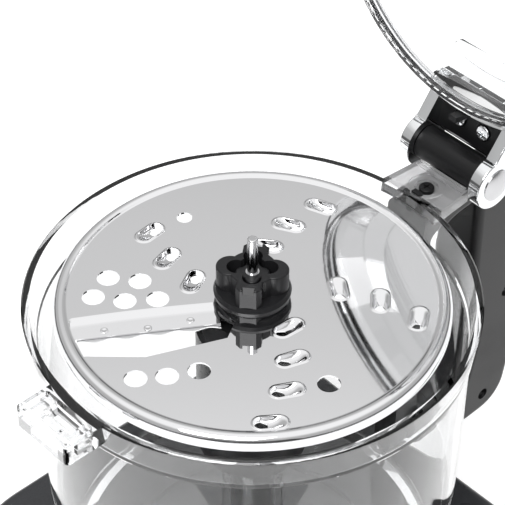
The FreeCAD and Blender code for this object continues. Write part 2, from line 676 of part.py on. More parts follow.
def lid_cover():
    """Clear domed lid with its feed tube, hinge tongue and latch ears."""
    dome = turned([
        (0, 354), (9, 354), (13.5, 349), (15.5, LID_TOP + 1), (30, LID_TOP), (80, LID_TOP - 2),
        (92, 326), (99, 318), (103, 315), (RIM_R - 0.3, 314.4), (RIM_R, LID_SEAT), (102.6, LID_SEAT),
        (102.6, 304.5), (100.2, 304.5), (100.2, 312), (96.5, 316), (89.5, 323.6), (78.5, LID_TOP - 5),
        (30, LID_TOP - 3), (13, LID_TOP - 2.4), (11, 348), (7.5, 351), (0, 351),
    ])
    dome = dome.cut(ring(104, 101.6, 306, 308.6))  # seal groove
    tongue_low = BRACKET_LOW + BRACKET_THICK
    tongue = rounded_plate(84, 126, -24, 24, 3, tongue_low, tongue_low + 4)
    web = block(99.5, 105.8, -24, 24, 312.5, tongue_low + 1)
    inside_dome = turned([(0, 300), (100.2, 300), (100.2, 312), (96.5, 316), (89.5, 323.6),
                          (78.5, LID_TOP - 5), (0, LID_TOP - 5)])
    hinge_side = tongue.fuse(web.cut(ring(130, RIM_R - 0.1, 300, 320))).cut(inside_dome)
    for y in (-8, 8):
        hinge_side = hinge_side.cut(cylinder(1.3, 300, 329, 119.5, y))
    ears = [
        side_prism([(-101, 314), (-109, 314), (-118, LATCH_Z - 3), (-118, LATCH_Z + 2.5),
                    (-115, LATCH_Z + 4), (-101, 320)], low, low + 3)
        for low in (-12, 9)
    ]
    cover = fused([dome, hinge_side] + ears)
    cover = cover.cut(cross_rod(1.5, -20, 20, LATCH_X, LATCH_Z))
    tube = tube_form(0, 316, TUBE_END).cut(tube_form(TUBE_WALL, 300, 500))
    lip = tube_form(-2, TUBE_END - 3, TUBE_END).cut(tube_form(0.5, 300, 500))
    return fused([cover.cut(tube_form(1, 300, 500)), tube, lip])


def lid_seal():
    return ring(102.8, 101.6, 306, 308.6)


def lid_trim():
    """Bright band round the lid's edge, open at the hinge and latch."""
    band = ring(RIM_R + 0.9, RIM_R + 0.01, LID_SEAT + 0.8, LID_SEAT + 4)
    return band.cut(block(-140, -90, -13, 13, 300, 330))


def lid_bracket():
    """Black plate under the tongue, with the tab that pushes the interlock rod."""
    plate = rounded_plate(105.9, 132, -ARM_IN, ARM_IN, 2, BRACKET_LOW, BRACKET_LOW + BRACKET_THICK)
    plate = plate.cut(cross_rod(BARREL_COLLAR_R + GAP, -60, 60, HINGE_X, HINGE_Z))
    for y in (-8, 8):
        plate = plate.cut(cylinder(1.9, 300, 400, 119.5, y))
        plate = plate.cut(cylinder(4.6, 300, BRACKET_LOW + 1, 119.5, y))
    tab = block(ROD_IN, ROD_OUT, -2.4, 2.4, RIM_Z - 0.5 - ROD_TRAVEL + 0.4, BRACKET_LOW + 1)
    return plate.fuse(tab)


def hinge_arm(side):
    """Polished arm: an eye round the hinge pin and a tapered bar beside the bracket."""
    low = ARM_IN if side > 0 else -ARM_OUT
    eye = cross_rod(ARM_EYE, low, low + ARM_OUT - ARM_IN, HINGE_X, HINGE_Z)
    bar = side_prism([(106, BRACKET_LOW - 1), (128, HINGE_Z - 6), (HINGE_X, HINGE_Z),
                      (HINGE_X, HINGE_Z + ARM_EYE), (126, BRACKET_LOW + BRACKET_THICK),
                      (106, BRACKET_LOW + BRACKET_THICK)], low, low + ARM_OUT - ARM_IN)
    arm = softened(eye.fuse(bar), 1.0, lambda e: across(e) and abs(e.BoundBox.YMin) > ARM_OUT - 0.1)
    recess_low = ARM_OUT - 2 if side > 0 else -ARM_OUT - 2
    arm = arm.cut(cross_rod(8.5, recess_low, recess_low + 4, HINGE_X, HINGE_Z))
    return arm.cut(cross_rod(HINGE_PIN_R, -60, 60, HINGE_X, HINGE_Z))


def pin_caps():
    """Domed caps over the pin's two ends, seated in the arms."""
    caps = []
    for side in (-1, 1):
        ball = Part.makeSphere(18, Vec(HINGE_X, side * (ARM_OUT + 0.6 - 16), HINGE_Z))
        low = ARM_OUT - 2 if side > 0 else -ARM_OUT - 6
        caps.append(ball.common(cross_rod(8.5, low, low + 8, HINGE_X, HINGE_Z)))
    return Part.makeCompound(caps)


def lid_bush():
    """Plain bearing in the lid's boss that steadies the top of the disc's pin."""
    bush = turned([(2.9, 343), (5.0, 338.5), (11.1, 338.5), (10.9, 349), (2.9, 349)])
    cup = cylinder(10.9, 348, 349)
    return bush.fuse(cup).common(turned([(0, 338), (12.6, 338), (11, 348), (7.5, 351), (0, 351)]))


def latch_lever():
    """Snap lever: finger pad above its pin, hook below. Drawn locked."""
    profile = [
        (-1.5, -2), (-1.5, -20.5), (-6, -18), (-6, -16.4), (-3.2, -16.4), (-3.2, -2), (-4, 3), (-12, 9),
        (-12, 12), (-3, 9.5), (2.5, 4), (2.5, -2),
    ]
    points = [(LATCH_X + x + 1.5, LATCH_Z + z) for x, z in profile]
    lever = side_prism(points, -8.6, 8.6)
    lever = lever.fuse(cross_rod(3.4, -8.6, 8.6, LATCH_X, LATCH_Z))
    lever = lever.cut(cross_rod(1.5 + RUN, -20, 20, LATCH_X, LATCH_Z))
    return spin(lever, -LATCH_SWING, Vec(LATCH_X, 0, LATCH_Z), ALONG_Y)


def large_pusher():
    """Hollow pusher with a flange on top and a well for the small pusher."""
    top = TUBE_END + 14
    outer = tube_form(TUBE_WALL + 0.6, 313.5, top)
    hollow = tube_form(TUBE_WALL + 3.0, 316.5, top + 1)
    flange = tube_form(-3, TUBE_END + 0.4, TUBE_END + 5).cut(tube_form(TUBE_WALL + 3.0, 300, 500))
    well = cylinder(SMALL_TUBE_R + 2.2, 313.5, top, SMALL_TUBE_X)
    body = fused([outer.cut(hollow), flange, well])
    body = body.cut(cylinder(SMALL_TUBE_R, 300, 500, SMALL_TUBE_X))
    return moved(body, 0, 0, PUSHER_LIFT)


def small_pusher():
    top = TUBE_END + 20
    body = cylinder(SMALL_TUBE_R - 0.5, 313.8, top, SMALL_TUBE_X)
    body = body.cut(cylinder(SMALL_TUBE_R - 3, 317, top + 1, SMALL_TUBE_X))
    rim = ring(SMALL_TUBE_R + 4, SMALL_TUBE_R - 3, TUBE_END + 14.4, top, SMALL_TUBE_X)
    return moved(body.fuse(rim), 0, 0, PUSHER_LIFT)


for name, shape in (
    ("lid_cover", lid_cover()), ("lid_seal", lid_seal()), ("lid_trim", lid_trim()),
    ("lid_bracket", lid_bracket()), ("hinge_arm_left", hinge_arm(1)),
    ("hinge_arm_right", hinge_arm(-1)), ("pin_caps", pin_caps()), ("lid_bush", lid_bush()),
    ("hinge_pin", cross_rod(HINGE_PIN_R, -ARM_OUT + 2, ARM_OUT - 2, HINGE_X, HINGE_Z)),
    ("lid_screws", Part.makeCompound(
        [screw(1.3, 6, 4.0, 2.2, 119.5, y, BRACKET_LOW + 1, -1) for y in (-8, 8)])),
    ("latch_lever", latch_lever()), ("latch_pin", cross_rod(1.5, -12, 12, LATCH_X, LATCH_Z)),
    ("large_pusher", large_pusher()), ("small_pusher", small_pusher()),
):
    save(name, opened(shape))


# ---- Disc, hub and drive adapter ----
TOOTH_LENGTH, TOOTH_R, TOOTH_RISE = 16.8, 4.5, 1.5
TEETH = [(66.8, 94.7), (48.4, 103.9), (29.7, 117.1), (72.5, 20.0), (53.8, 28.4), (36.1, 36.9),
         (77.7, -53.9), (59.3, -45.7), (40.5, -35.4), (81.8, -127.3), (63.4, -118.8), (45.2, -109.3),
         (26.9, -94.7)]  # distance from the axis and angle from +X, row by row
ROUND_HOLES = [(68.8, 126.5), (53.7, 125.9), (73.9, 137.6), (59.2, 140.3), (44.0, 139.6),
               (75.2, -176.7), (65.0, -168.7), (54.6, -158.7), (66.7, -102.1)]
ROUND_HOLE_R = 5.4
BLADE_OUTER, BLADE_INNER = Vec(-78.2, 31.8, 0), Vec(-23.3, -4.3, 0)  # ends of the cutting edge
SLOT_OUTER, SLOT_MIDDLE, SLOT_INNER = Vec(-83.1, 22.4, 0), Vec(-62.9, 3.2, 0), Vec(-27.2, -12.7, 0)
PRESS_BACK, PRESS_FOOT, PRESS_FRONT = 16.0, 10.5, 1.6  # the pressed ramp, behind the slot's back edge
PRESS_DROP, PRESS_LOW = 0.9, 1.3  # depth at the ramp's foot and at its front
HUB_BELOW = 12.0
HUB_LOBE_R, HUB_LOBE_AT, HUB_MIDDLE = 6.8, 10.2, 11.4
HUB_SQUARE_REACH, HUB_SQUARE_HALF = 16.8, 6.0
SOCKET_LOBE_R, SOCKET_LOBE_AT, SOCKET_MIDDLE = 4.5, 7.5, 6.8
ADAPTER_LOBE_R, ADAPTER_LOBE_AT, ADAPTER_MIDDLE = 3.3, 4.6, 5.7
SKIRT_R, SKIRT_LOW = 27.0, 216.0


def polar(radius, angle):
    return radius * math.cos(math.radians(angle)), radius * math.sin(math.radians(angle))


def clover(lobe_r, lobe_at, middle_r, low, high):
    """Four round lobes on the diagonals, joined by a round middle."""
    lobes = [cylinder(lobe_r, low, high, *polar(lobe_at, 45 + 90 * n)) for n in range(4)]
    return fused([cylinder(middle_r, low, high)] + lobes)


def scoop(grow, radius, angle):
    """The rounded trough of one shredding tooth, lying across the radius."""
    reach = TOOTH_LENGTH / 2 - math.sqrt(TOOTH_R ** 2 - TOOTH_RISE ** 2)
    size = TOOTH_R + grow
    trough = Part.makeCylinder(size, 2 * reach, Vec(0, -reach, 0), ALONG_Y)
    ends = [Part.makeSphere(size, Vec(0, end, 0)) for end in (reach, -reach)]
    trough = fused([trough] + ends)
    return moved(spin(moved(trough, radius, 0), angle), 0, 0, DISC_Z + TOOTH_RISE)


def disc_plate():
    """Polished steel disc: rolled edge, pressed teeth with their openings, round holes, blade slot."""
    low = DISC_Z - DISC_SHEET
    plate = turned([
        (15.2, DISC_Z), (86.5, DISC_Z), (87.6, DISC_Z - 0.5), (88.6, DISC_Z), (91.6, DISC_Z),
        (DISC_R, DISC_Z - 1.4), (DISC_R, DISC_Z - DISC_FLANGE), (DISC_R - 1, DISC_Z - DISC_FLANGE),
        (DISC_R - 1, low - 0.9), (91.2, low), (15.2, low),
    ])
    below = block(-100, 100, -100, 100, 290, DISC_Z)
    for radius, angle in TEETH:
        x, y = polar(radius, angle)
        shell = scoop(0, radius, angle).cut(scoop(-0.8, radius, angle)).common(below)
        mouth_x, mouth_y = -math.sin(math.radians(angle)), math.cos(math.radians(angle))
        mouth = cylinder(4.1, 290, 320, x - 4.2 * mouth_x, y - 4.2 * mouth_y)
        plate = plate.cut(scoop(-0.8, radius, angle)).fuse(shell).cut(mouth)
    for radius, angle in ROUND_HOLES:
        plate = plate.cut(cylinder(ROUND_HOLE_R, 290, 320, *polar(radius, angle)))
    plate = plate.cut(cylinder(3.8, 290, 320, *polar(65.2, 77.5)))
    slot = polygon_face([BLADE_OUTER, SLOT_OUTER, SLOT_MIDDLE, SLOT_INNER, BLADE_INNER])
    plate = plate.cut(moved(slot.extrude(Vec(0, 0, 40)), 0, 0, 290))
    pressed = behind_slot([(PRESS_BACK, 0), (PRESS_FOOT, -PRESS_DROP), (PRESS_FRONT, -PRESS_LOW),
                           (PRESS_FRONT, -PRESS_LOW - DISC_SHEET), (PRESS_FOOT, -PRESS_DROP - DISC_SHEET),
                           (PRESS_BACK, -DISC_SHEET)])
    window = behind_slot([(-0.01, -3), (-0.01, 3), (PRESS_BACK, 3), (PRESS_BACK, -3)])
    return plate.cut(window).fuse(pressed)


def behind_slot(section):
    """A bar along the slot's back edge, kept inside the bead and clear of the hub; the section gives
    (distance behind the edge, height above the disc)."""
    along = BLADE_INNER - BLADE_OUTER
    bar = polygon_face([Vec(0, y, z) for y, z in section]).extrude(Vec(along.Length + 8, 0, 0))
    bar = spin(moved(bar, -4), math.degrees(math.atan2(along.y, along.x)))
    bar = moved(bar, BLADE_OUTER.x, BLADE_OUTER.y, DISC_Z)
    return bar.common(ring(DISC_R - 7, 19.5, 300, 320))


def slicing_blade():
    """Ground strip welded under the pressed ramp, its edge just ahead of the sheet."""
    slope = (PRESS_LOW - PRESS_DROP) / (PRESS_FOOT - PRESS_FRONT)
    under = PRESS_LOW + DISC_SHEET
    back, front = PRESS_FOOT - 1, PRESS_FRONT - 1
    return behind_slot([(front, -under - slope * (PRESS_FRONT - front)),
                        (back, -under + slope * (back - PRESS_FRONT)),
                        (back, -under + slope * (back - PRESS_FRONT) - 0.8), (front + 1.4, -under - 0.8)])


def square_lobe(angle, low, high):
    """A blunt lobe with bevelled corners and a sloped top edge."""
    lobe = block(0, HUB_SQUARE_REACH, -HUB_SQUARE_HALF, HUB_SQUARE_HALF, low, high)
    lobe = lobe.makeChamfer(2.2, [e for e in lobe.Edges if upright(e) and e.BoundBox.XMin > 1])
    slope = side_prism([(HUB_SQUARE_REACH - 2.6, high + 0.1), (HUB_SQUARE_REACH + 1, high + 0.1),
                        (HUB_SQUARE_REACH + 1, high - 3.6)], -2.6, 2.6)
    return spin(lobe.cut(slope), angle)


def disc_hub():
    """Hub moulded on both sides of the disc: two round lobes, two blunt ones, a clover socket."""
    low, high = DISC_Z - HUB_BELOW, DISC_Z + HUB_TOP
    lobes = [square_lobe(angle, low, high) for angle in (40, -140)]
    lobes += [cylinder(HUB_LOBE_R, low, high, *polar(HUB_LOBE_AT, angle)) for angle in (130, -50)]
    body = fused([cylinder(HUB_MIDDLE, low, high)] + lobes)
    body = softened(body, 0.8, level_at(high))
    flare = turned([(9, DISC_Z), (15.2, DISC_Z), (16.8, DISC_Z + 1.2), (17.9, DISC_Z + 3.2),
                    (18.2, DISC_Z + 5.4), (17.2, DISC_Z + 7.6), (9, DISC_Z + 7.6)])
    under = ring(18, 9, DISC_Z - DISC_SHEET - 2.2, DISC_Z - DISC_SHEET)
    body = fused([body, flare, under])
    body = body.cut(ring(30, 15.2, DISC_Z - DISC_SHEET, DISC_Z))
    return body.cut(clover(SOCKET_LOBE_R, SOCKET_LOBE_AT, SOCKET_MIDDLE, 200, 400))


def drive_adapter():
    """Stem over the spindle with a wide hollow skirt; its clover top drives the disc."""
    top = DISC_Z + ADAPTER_TOP
    shoulder = DISC_Z - HUB_BELOW - GAP
    head = clover(ADAPTER_LOBE_R, ADAPTER_LOBE_AT, ADAPTER_MIDDLE, shoulder - 4, top)
    head = softened(head, 0.9, level_at(top))
    skirt = turned([(9, shoulder - 10), (SKIRT_R - 4, shoulder - 10), (SKIRT_R - 2.5, shoulder - 12),
                    (SKIRT_R - 2.5, SKIRT_LOW), (SKIRT_R, SKIRT_LOW), (SKIRT_R, shoulder - 5),
                    (SKIRT_R - 2, shoulder - 3), (17, shoulder), (9, shoulder)])
    stem = fused([cylinder(TUBE_BORE - 1.2, 141, shoulder - 5), skirt, head])
    stem = stem.cut(cylinder(SPINDLE_R + 0.3, 100, BASE_TOP + 10))
    stem = stem.cut(spindle_form(0.3, 100, SPINDLE_TOP + 1))
    return stem.cut(cylinder(PIN_ROOT_R, top - 30, top + 10))


def adapter_pin():
    """Steel pin with a thicker root moulded into the adapter."""
    top = DISC_Z + ADAPTER_TOP
    pin = cylinder(PIN_R, top, DISC_Z + PIN_TOP)
    pin = softened(pin, 0.9, level_at(DISC_Z + PIN_TOP))
    return pin.fuse(cylinder(PIN_ROOT_R, top - 30, top))


for name, shape in (
    ("disc_plate", disc_plate()), ("slicing_blade", slicing_blade()), ("disc_hub", disc_hub()),
    ("drive_adapter", drive_adapter()), ("adapter_pin", adapter_pin()),
):
    save(name, shape)
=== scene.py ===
"""Looks of a hinged-lid food processor: clear bowl, polished cutting disc, open lid, dark base."""

import math

import bmesh
import bpy
from mathutils import Matrix, Vector


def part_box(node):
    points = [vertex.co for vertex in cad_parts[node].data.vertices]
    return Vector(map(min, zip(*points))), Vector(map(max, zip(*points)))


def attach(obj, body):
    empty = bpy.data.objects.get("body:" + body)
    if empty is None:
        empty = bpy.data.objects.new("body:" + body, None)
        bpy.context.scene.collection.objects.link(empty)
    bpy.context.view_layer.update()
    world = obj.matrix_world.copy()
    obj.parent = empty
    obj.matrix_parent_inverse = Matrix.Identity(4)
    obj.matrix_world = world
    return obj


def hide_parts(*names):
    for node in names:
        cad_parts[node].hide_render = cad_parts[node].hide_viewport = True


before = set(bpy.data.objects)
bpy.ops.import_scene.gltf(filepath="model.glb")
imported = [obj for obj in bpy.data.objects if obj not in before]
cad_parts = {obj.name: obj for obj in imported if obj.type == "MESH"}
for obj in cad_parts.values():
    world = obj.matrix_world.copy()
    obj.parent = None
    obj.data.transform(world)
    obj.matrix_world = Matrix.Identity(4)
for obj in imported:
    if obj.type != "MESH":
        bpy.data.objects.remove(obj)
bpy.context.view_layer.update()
MM = 0.001

# ---- Work bowl ----
# Taken as one injection moulding in clear copolyester: thick flat rim, stepped collar,
# tapering wall, foot ring and spindle sleeve, with the latch catch and hinge pad moulded on.


def new_material(name):
    """A material with only its Principled shader and output, and short ways to its nodes."""
    made = bpy.data.materials.new(name)
    made.use_nodes = True
    return made, made.node_tree.nodes, made.node_tree.links, made.node_tree.nodes["Principled BSDF"]


def set_sockets(node, **values):
    for socket, value in values.items():
        node.inputs[socket.replace("_", " ")].default_value = value


def new_group(name, inputs, outputs):
    """An empty shader group with named sockets: (kind, name, value) in, (kind, name) out."""
    tree = bpy.data.node_groups.new(name, "ShaderNodeTree")
    for kind, label, value in inputs:
        socket = tree.interface.new_socket(label, in_out="INPUT", socket_type="NodeSocket" + kind)
        socket.default_value = value
    for kind, label in outputs:
        tree.interface.new_socket(label, in_out="OUTPUT", socket_type="NodeSocket" + kind)
    return tree, tree.nodes.new("NodeGroupInput"), tree.nodes.new("NodeGroupOutput")


def placed(nodes, tree, **values):
    """Put a shader group in a material with its own values."""
    node = nodes.new("ShaderNodeGroup")
    node.node_tree = tree
    set_sockets(node, **values)
    return node


def mix_number(tree, factor, low, high):
    """low where factor is 0, high where it is 1; each may be a socket or a number."""
    node = tree.nodes.new("ShaderNodeMapRange")
    tree.links.new(factor, node.inputs["Value"])
    for socket, value in (("To Min", low), ("To Max", high)):
        if isinstance(value, (int, float)):
            node.inputs[socket].default_value = value
        else:
            tree.links.new(value, node.inputs[socket])
    return node.outputs["Result"]


def noise_at(tree, scale, detail=4.0, stretch=(1, 1, 1)):
    """Object-space noise; stretch draws it out along an axis."""
    coords = tree.nodes.new("ShaderNodeTexCoord")
    mapping = tree.nodes.new("ShaderNodeMapping")
    mapping.inputs["Scale"].default_value = stretch
    noise = tree.nodes.new("ShaderNodeTexNoise")
    noise.inputs["Detail"].default_value = detail
    if isinstance(scale, (int, float)):
        noise.inputs["Scale"].default_value = scale
    else:
        tree.links.new(scale, noise.inputs["Scale"])
    tree.links.new(coords.outputs["Object"], mapping.inputs["Vector"])
    tree.links.new(mapping.outputs["Vector"], noise.inputs["Vector"])
    return noise.outputs["Fac"]


def handling_marks():
    """Faint smears and fine dust: a roughness that wanders between two values, and a fine height."""
    tree, given, result = new_group(
        "handling_marks",
        [("Float", "Smear Size", 18.0), ("Float", "Clean Roughness", 0.03),
         ("Float", "Smeared Roughness", 0.12),
         ("Float", "Speck Size", 900.0)],
        [("Float", "Roughness"), ("Float", "Height")],
    )
    smear = noise_at(tree, given.outputs["Smear Size"], 6.0)
    edge = tree.nodes.new("ShaderNodeMapRange")
    edge.inputs["From Min"].default_value = 0.48
    edge.inputs["From Max"].default_value = 0.72
    tree.links.new(smear, edge.inputs["Value"])
    tree.links.new(mix_number(tree, edge.outputs["Result"], given.outputs["Clean Roughness"],
                              given.outputs["Smeared Roughness"]), result.inputs["Roughness"])
    tree.links.new(noise_at(tree, given.outputs["Speck Size"], 2.0), result.inputs["Height"])
    return tree


MARKS = handling_marks()


def bump_from(nodes, links, height, strength, distance, shader):
    bump = nodes.new("ShaderNodeBump")
    set_sockets(bump, Strength=strength, Distance=distance)
    links.new(height, bump.inputs["Height"])
    links.new(bump.outputs["Normal"], shader.inputs["Normal"])


def clear_plastic(name, tint, clean, smeared):
    """Water-clear moulding: polished, with faint flow waves and handling smears."""
    made, nodes, links, shader = new_material(name)
    set_sockets(shader, Base_Color=(*tint, 1), Transmission_Weight=1.0, IOR=1.53)
    marks = placed(nodes, MARKS, Smear_Size=9.0, Clean_Roughness=clean, Smeared_Roughness=smeared,
                   Speck_Size=60.0)
    links.new(marks.outputs["Roughness"], shader.inputs["Roughness"])
    bump_from(nodes, links, marks.outputs["Height"], 0.03, 0.0004, shader)
    return made


def give(node, material):
    """Put a material in every slot of a CAD node."""
    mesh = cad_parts[node].data
    if not mesh.materials:
        mesh.materials.append(material)
    for slot_number in range(len(mesh.materials)):
        mesh.materials[slot_number] = material
    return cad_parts[node]


def band_mask(tree, radius_low, radius_high, z_low, z_high, fade):
    """1 inside a ring round the bowl's axis between two radii and two heights (metres)."""
    coords = tree.nodes.new("ShaderNodeTexCoord")
    parts = tree.nodes.new("ShaderNodeSeparateXYZ")
    tree.links.new(coords.outputs["Object"], parts.inputs["Vector"])
    flat = tree.nodes.new("ShaderNodeCombineXYZ")
    tree.links.new(parts.outputs["X"], flat.inputs["X"])
    tree.links.new(parts.outputs["Y"], flat.inputs["Y"])
    length = tree.nodes.new("ShaderNodeVectorMath")
    length.operation = "LENGTH"
    tree.links.new(flat.outputs["Vector"], length.inputs[0])
    product = None
    for value, low, high in ((length.outputs["Value"], radius_low, radius_high),
                             (parts.outputs["Z"], z_low, z_high)):
        for edge, sense in ((low, 1), (high, -1)):
            step = tree.nodes.new("ShaderNodeMapRange")
            step.interpolation_type = "SMOOTHSTEP"
            tree.links.new(value, step.inputs["Value"])
            set_sockets(step, From_Min=edge - sense * fade, From_Max=edge + sense * fade)
            if product is None:
                product = step.outputs["Result"]
            else:
                times = tree.nodes.new("ShaderNodeMath")
                times.operation = "MULTIPLY"
                tree.links.new(product, times.inputs[0])
                tree.links.new(step.outputs["Result"], times.inputs[1])
                product = times.outputs["Value"]
    return product


def painted_rim_shade():
    """Colour of a clear moulding: painted shade, darker in one ring on top of the rim, with the same grey
    tinting the hinge pad.
    """
    tree, given, result = new_group(
        "painted_rim_shade",
        [("Color", "Clear", (0.97, 0.975, 0.98, 1)), ("Color", "Rim Shade And Pad Grey", (0.62, 0.62, 0.63, 1))],
        [("Color", "Color"), ("Float", "Clarity")])
    # painted shade: a ring on top of the thick rim is coloured darker, standing in for the dark the rim shows
    rim_shade_mask = band_mask(tree, 0.1046, 0.1085, 0.3085, 0.3120, 0.0004)
    coords = tree.nodes.new("ShaderNodeTexCoord")
    parts = tree.nodes.new("ShaderNodeSeparateXYZ")
    tree.links.new(coords.outputs["Object"], parts.inputs["Vector"])
    pad = tree.nodes.new("ShaderNodeMapRange")  # the thick hinge pad, out along +X
    tree.links.new(parts.outputs["X"], pad.inputs["Value"])
    set_sockets(pad, From_Min=0.1076, From_Max=0.1082, To_Max=0.8)
    most = tree.nodes.new("ShaderNodeMath")
    most.operation = "MAXIMUM"
    tree.links.new(rim_shade_mask, most.inputs[0])
    tree.links.new(pad.outputs["Result"], most.inputs[1])
    mask = most.outputs["Value"]
    mix = tree.nodes.new("ShaderNodeMix")
    mix.data_type = "RGBA"
    tree.links.new(mask, mix.inputs[0])
    tree.links.new(given.outputs["Clear"], mix.inputs[6])
    tree.links.new(given.outputs["Rim Shade And Pad Grey"], mix.inputs[7])
    tree.links.new(mix.outputs[2], result.inputs["Color"])
    clarity = tree.nodes.new("ShaderNodeMapRange")  # the pad lets less light through than the walls
    tree.links.new(pad.outputs["Result"], clarity.inputs["Value"])
    set_sockets(clarity, To_Min=1.0, To_Max=0.6)
    tree.links.new(clarity.outputs["Result"], result.inputs["Clarity"])
    return tree


bowl_clear = clear_plastic("bowl_clear", (0.97, 0.975, 0.98), 0.012, 0.05)
bowl_nodes = bowl_clear.node_tree.nodes
# the bowl's colour holds painted shade in a ring on top of the rim
bowl_rim_shade_and_tint = placed(bowl_nodes, painted_rim_shade())
for output, socket in (("Color", "Base Color"), ("Clarity", "Transmission Weight")):
    bowl_clear.node_tree.links.new(bowl_rim_shade_and_tint.outputs[output], bowl_nodes["Principled BSDF"].inputs[socket])
give("bowl_shell", bowl_clear)

# ---- Cutting disc ----
# One sheet of stainless steel about 1 mm thick, polished to a mirror. The press that blanks it
# dishes each shredding tooth down to its mouth, punches the round holes and rolls the edge over.
def brushed_height(tree_nodes, links, scale, stretch):
    coords = tree_nodes.new("ShaderNodeTexCoord")
    mapping = tree_nodes.new("ShaderNodeMapping")
    mapping.inputs["Scale"].default_value = stretch
    noise = tree_nodes.new("ShaderNodeTexNoise")
    set_sockets(noise, Scale=scale, Detail=3.0)
    links.new(coords.outputs["Object"], mapping.inputs["Vector"])
    links.new(mapping.outputs["Vector"], noise.inputs["Vector"])
    return noise.outputs["Fac"]


def polished_metal(name, colour, clean, smeared, scratch, stretch=(1, 1, 1)):
    """Bright metal: wandering roughness from handling, and hair-fine polishing lines."""
    made, nodes, links, shader = new_material(name)
    set_sockets(shader, Base_Color=(*colour, 1), Metallic=1.0)
    marks = placed(nodes, MARKS, Smear_Size=14.0, Clean_Roughness=clean, Smeared_Roughness=smeared)
    links.new(marks.outputs["Roughness"], shader.inputs["Roughness"])
    bump_from(nodes, links, brushed_height(nodes, links, 400.0, stretch), scratch, 0.00005, shader)
    return made


DISC_R, DISC_TOP, SHEET = 93.0, 308.8, 1.0
FLAT_R = 86.2  # where the flat of the disc meets its bead
WELD_DROP, BLADE_DROP = 1.13, 2.2  # below the disc's upper face
TOOTH_PLACES = [(66.8, 94.7), (48.4, 103.9), (29.7, 117.1), (72.5, 20.0), (53.8, 28.4), (36.1, 36.9),
                (77.7, -53.9), (59.3, -45.7), (40.5, -35.4), (81.8, -127.3), (63.4, -118.8),
                (45.2, -109.3), (26.9, -94.7)]
HOLE_PLACES = [(68.8, 126.5), (53.7, 125.9), (73.9, 137.6), (59.2, 140.3), (44.0, 139.6),
               (75.2, -176.7), (65.0, -168.7), (54.6, -158.7), (66.7, -102.1)]
TOOTH_HALF, TOOTH_WIDE = 3.9, 4.9  # half the straight part, and the radius of the round ends
HUB_GAP_R = 15.3


def linked(name, mesh, material=None):
    piece = bpy.data.objects.new(name, mesh)
    bpy.context.scene.collection.objects.link(piece)
    if material:
        mesh.materials.append(material)
    return piece


def circle_points(radius, x=0.0, y=0.0, count=48):
    return [(x + radius * math.cos(2 * math.pi * n / count), y + radius * math.sin(2 * math.pi * n / count))
            for n in range(count)]


def polar(radius, angle):
    return radius * math.cos(math.radians(angle)), radius * math.sin(math.radians(angle))


def capsule(half, radius, count=48):
    """Points round a capsule lying along y, evenly shared between its two round ends."""
    points = []
    for n in range(count):
        turn = 2 * math.pi * (n + 0.5) / count
        side = math.copysign(half, math.sin(turn))
        points.append((radius * math.cos(turn), radius * math.sin(turn) + side))
    return points


def turned_about(point, angle, centre=(0.0, 0.0)):
    c, s = math.cos(math.radians(angle)), math.sin(math.radians(angle))
    return centre[0] + point[0] * c - point[1] * s, centre[1] + point[0] * s + point[1] * c


def flat_sheet(name, outlines, thickness, middle_z, edge):
    """A sheet cut to the outlines, holes included, with its cut edges eased."""
    curve = bpy.data.curves.new(name, "CURVE")
    curve.dimensions = "2D"
    curve.fill_mode = "BOTH"
    curve.extrude = (thickness / 2 - edge) * MM
    curve.bevel_depth = edge * MM
    curve.bevel_resolution = 1
    curve.offset = -edge * MM
    for outline in outlines:
        spline = curve.splines.new("POLY")
        spline.points.add(len(outline) - 1)
        spline.use_cyclic_u = True
        for point, (x, y) in zip(spline.points, outline):
            point.co = (x * MM, y * MM, 0, 1)
    holder = bpy.data.objects.new(name, curve)
    bpy.context.scene.collection.objects.link(holder)
    mesh = bpy.data.meshes.new_from_object(holder.evaluated_get(bpy.context.evaluated_depsgraph_get()))
    bpy.data.objects.remove(holder)
    mesh.transform(Matrix.Translation((0, 0, middle_z * MM)))
    return mesh


def add_rings(target, rings, closed_end=False):
    """Join rings of equal length into a skin."""
    made = [[target.verts.new(Vector(p) * MM) for p in ring] for ring in rings]
    for one, two in zip(made, made[1:]):
        for n in range(len(one)):
            m = (n + 1) % len(one)
            target.faces.new((one[n], one[m], two[m], two[n]))
    if closed_end:
        target.faces.new(made[-1])


def rolled_edge():
    """The bead and turned-down flange outside the flat of the disc, as one turned skin."""
    profile = [(86.2, 0.0), (86.6, 0.05), (87.0, 0.25), (87.4, 0.55), (87.9, 0.8), (88.6, 0.95), (89.6, 0.98),
               (90.4, 0.85), (91.1, 0.5), (91.7, 0.0), (92.2, -0.6), (92.6, -1.3), (92.9, -2.1),
               (DISC_R, -3.0),
               (DISC_R, -6.0), (92.0, -6.0), (92.0, -2.6), (91.0, -SHEET), (86.2, -SHEET)]
    shape = bmesh.new()
    count = 288
    rings = []
    for radius, drop in profile:
        rings.append([(x, y, DISC_TOP + drop) for x, y in circle_points(radius, count=count)])
    add_rings(shape, rings)
    return shape


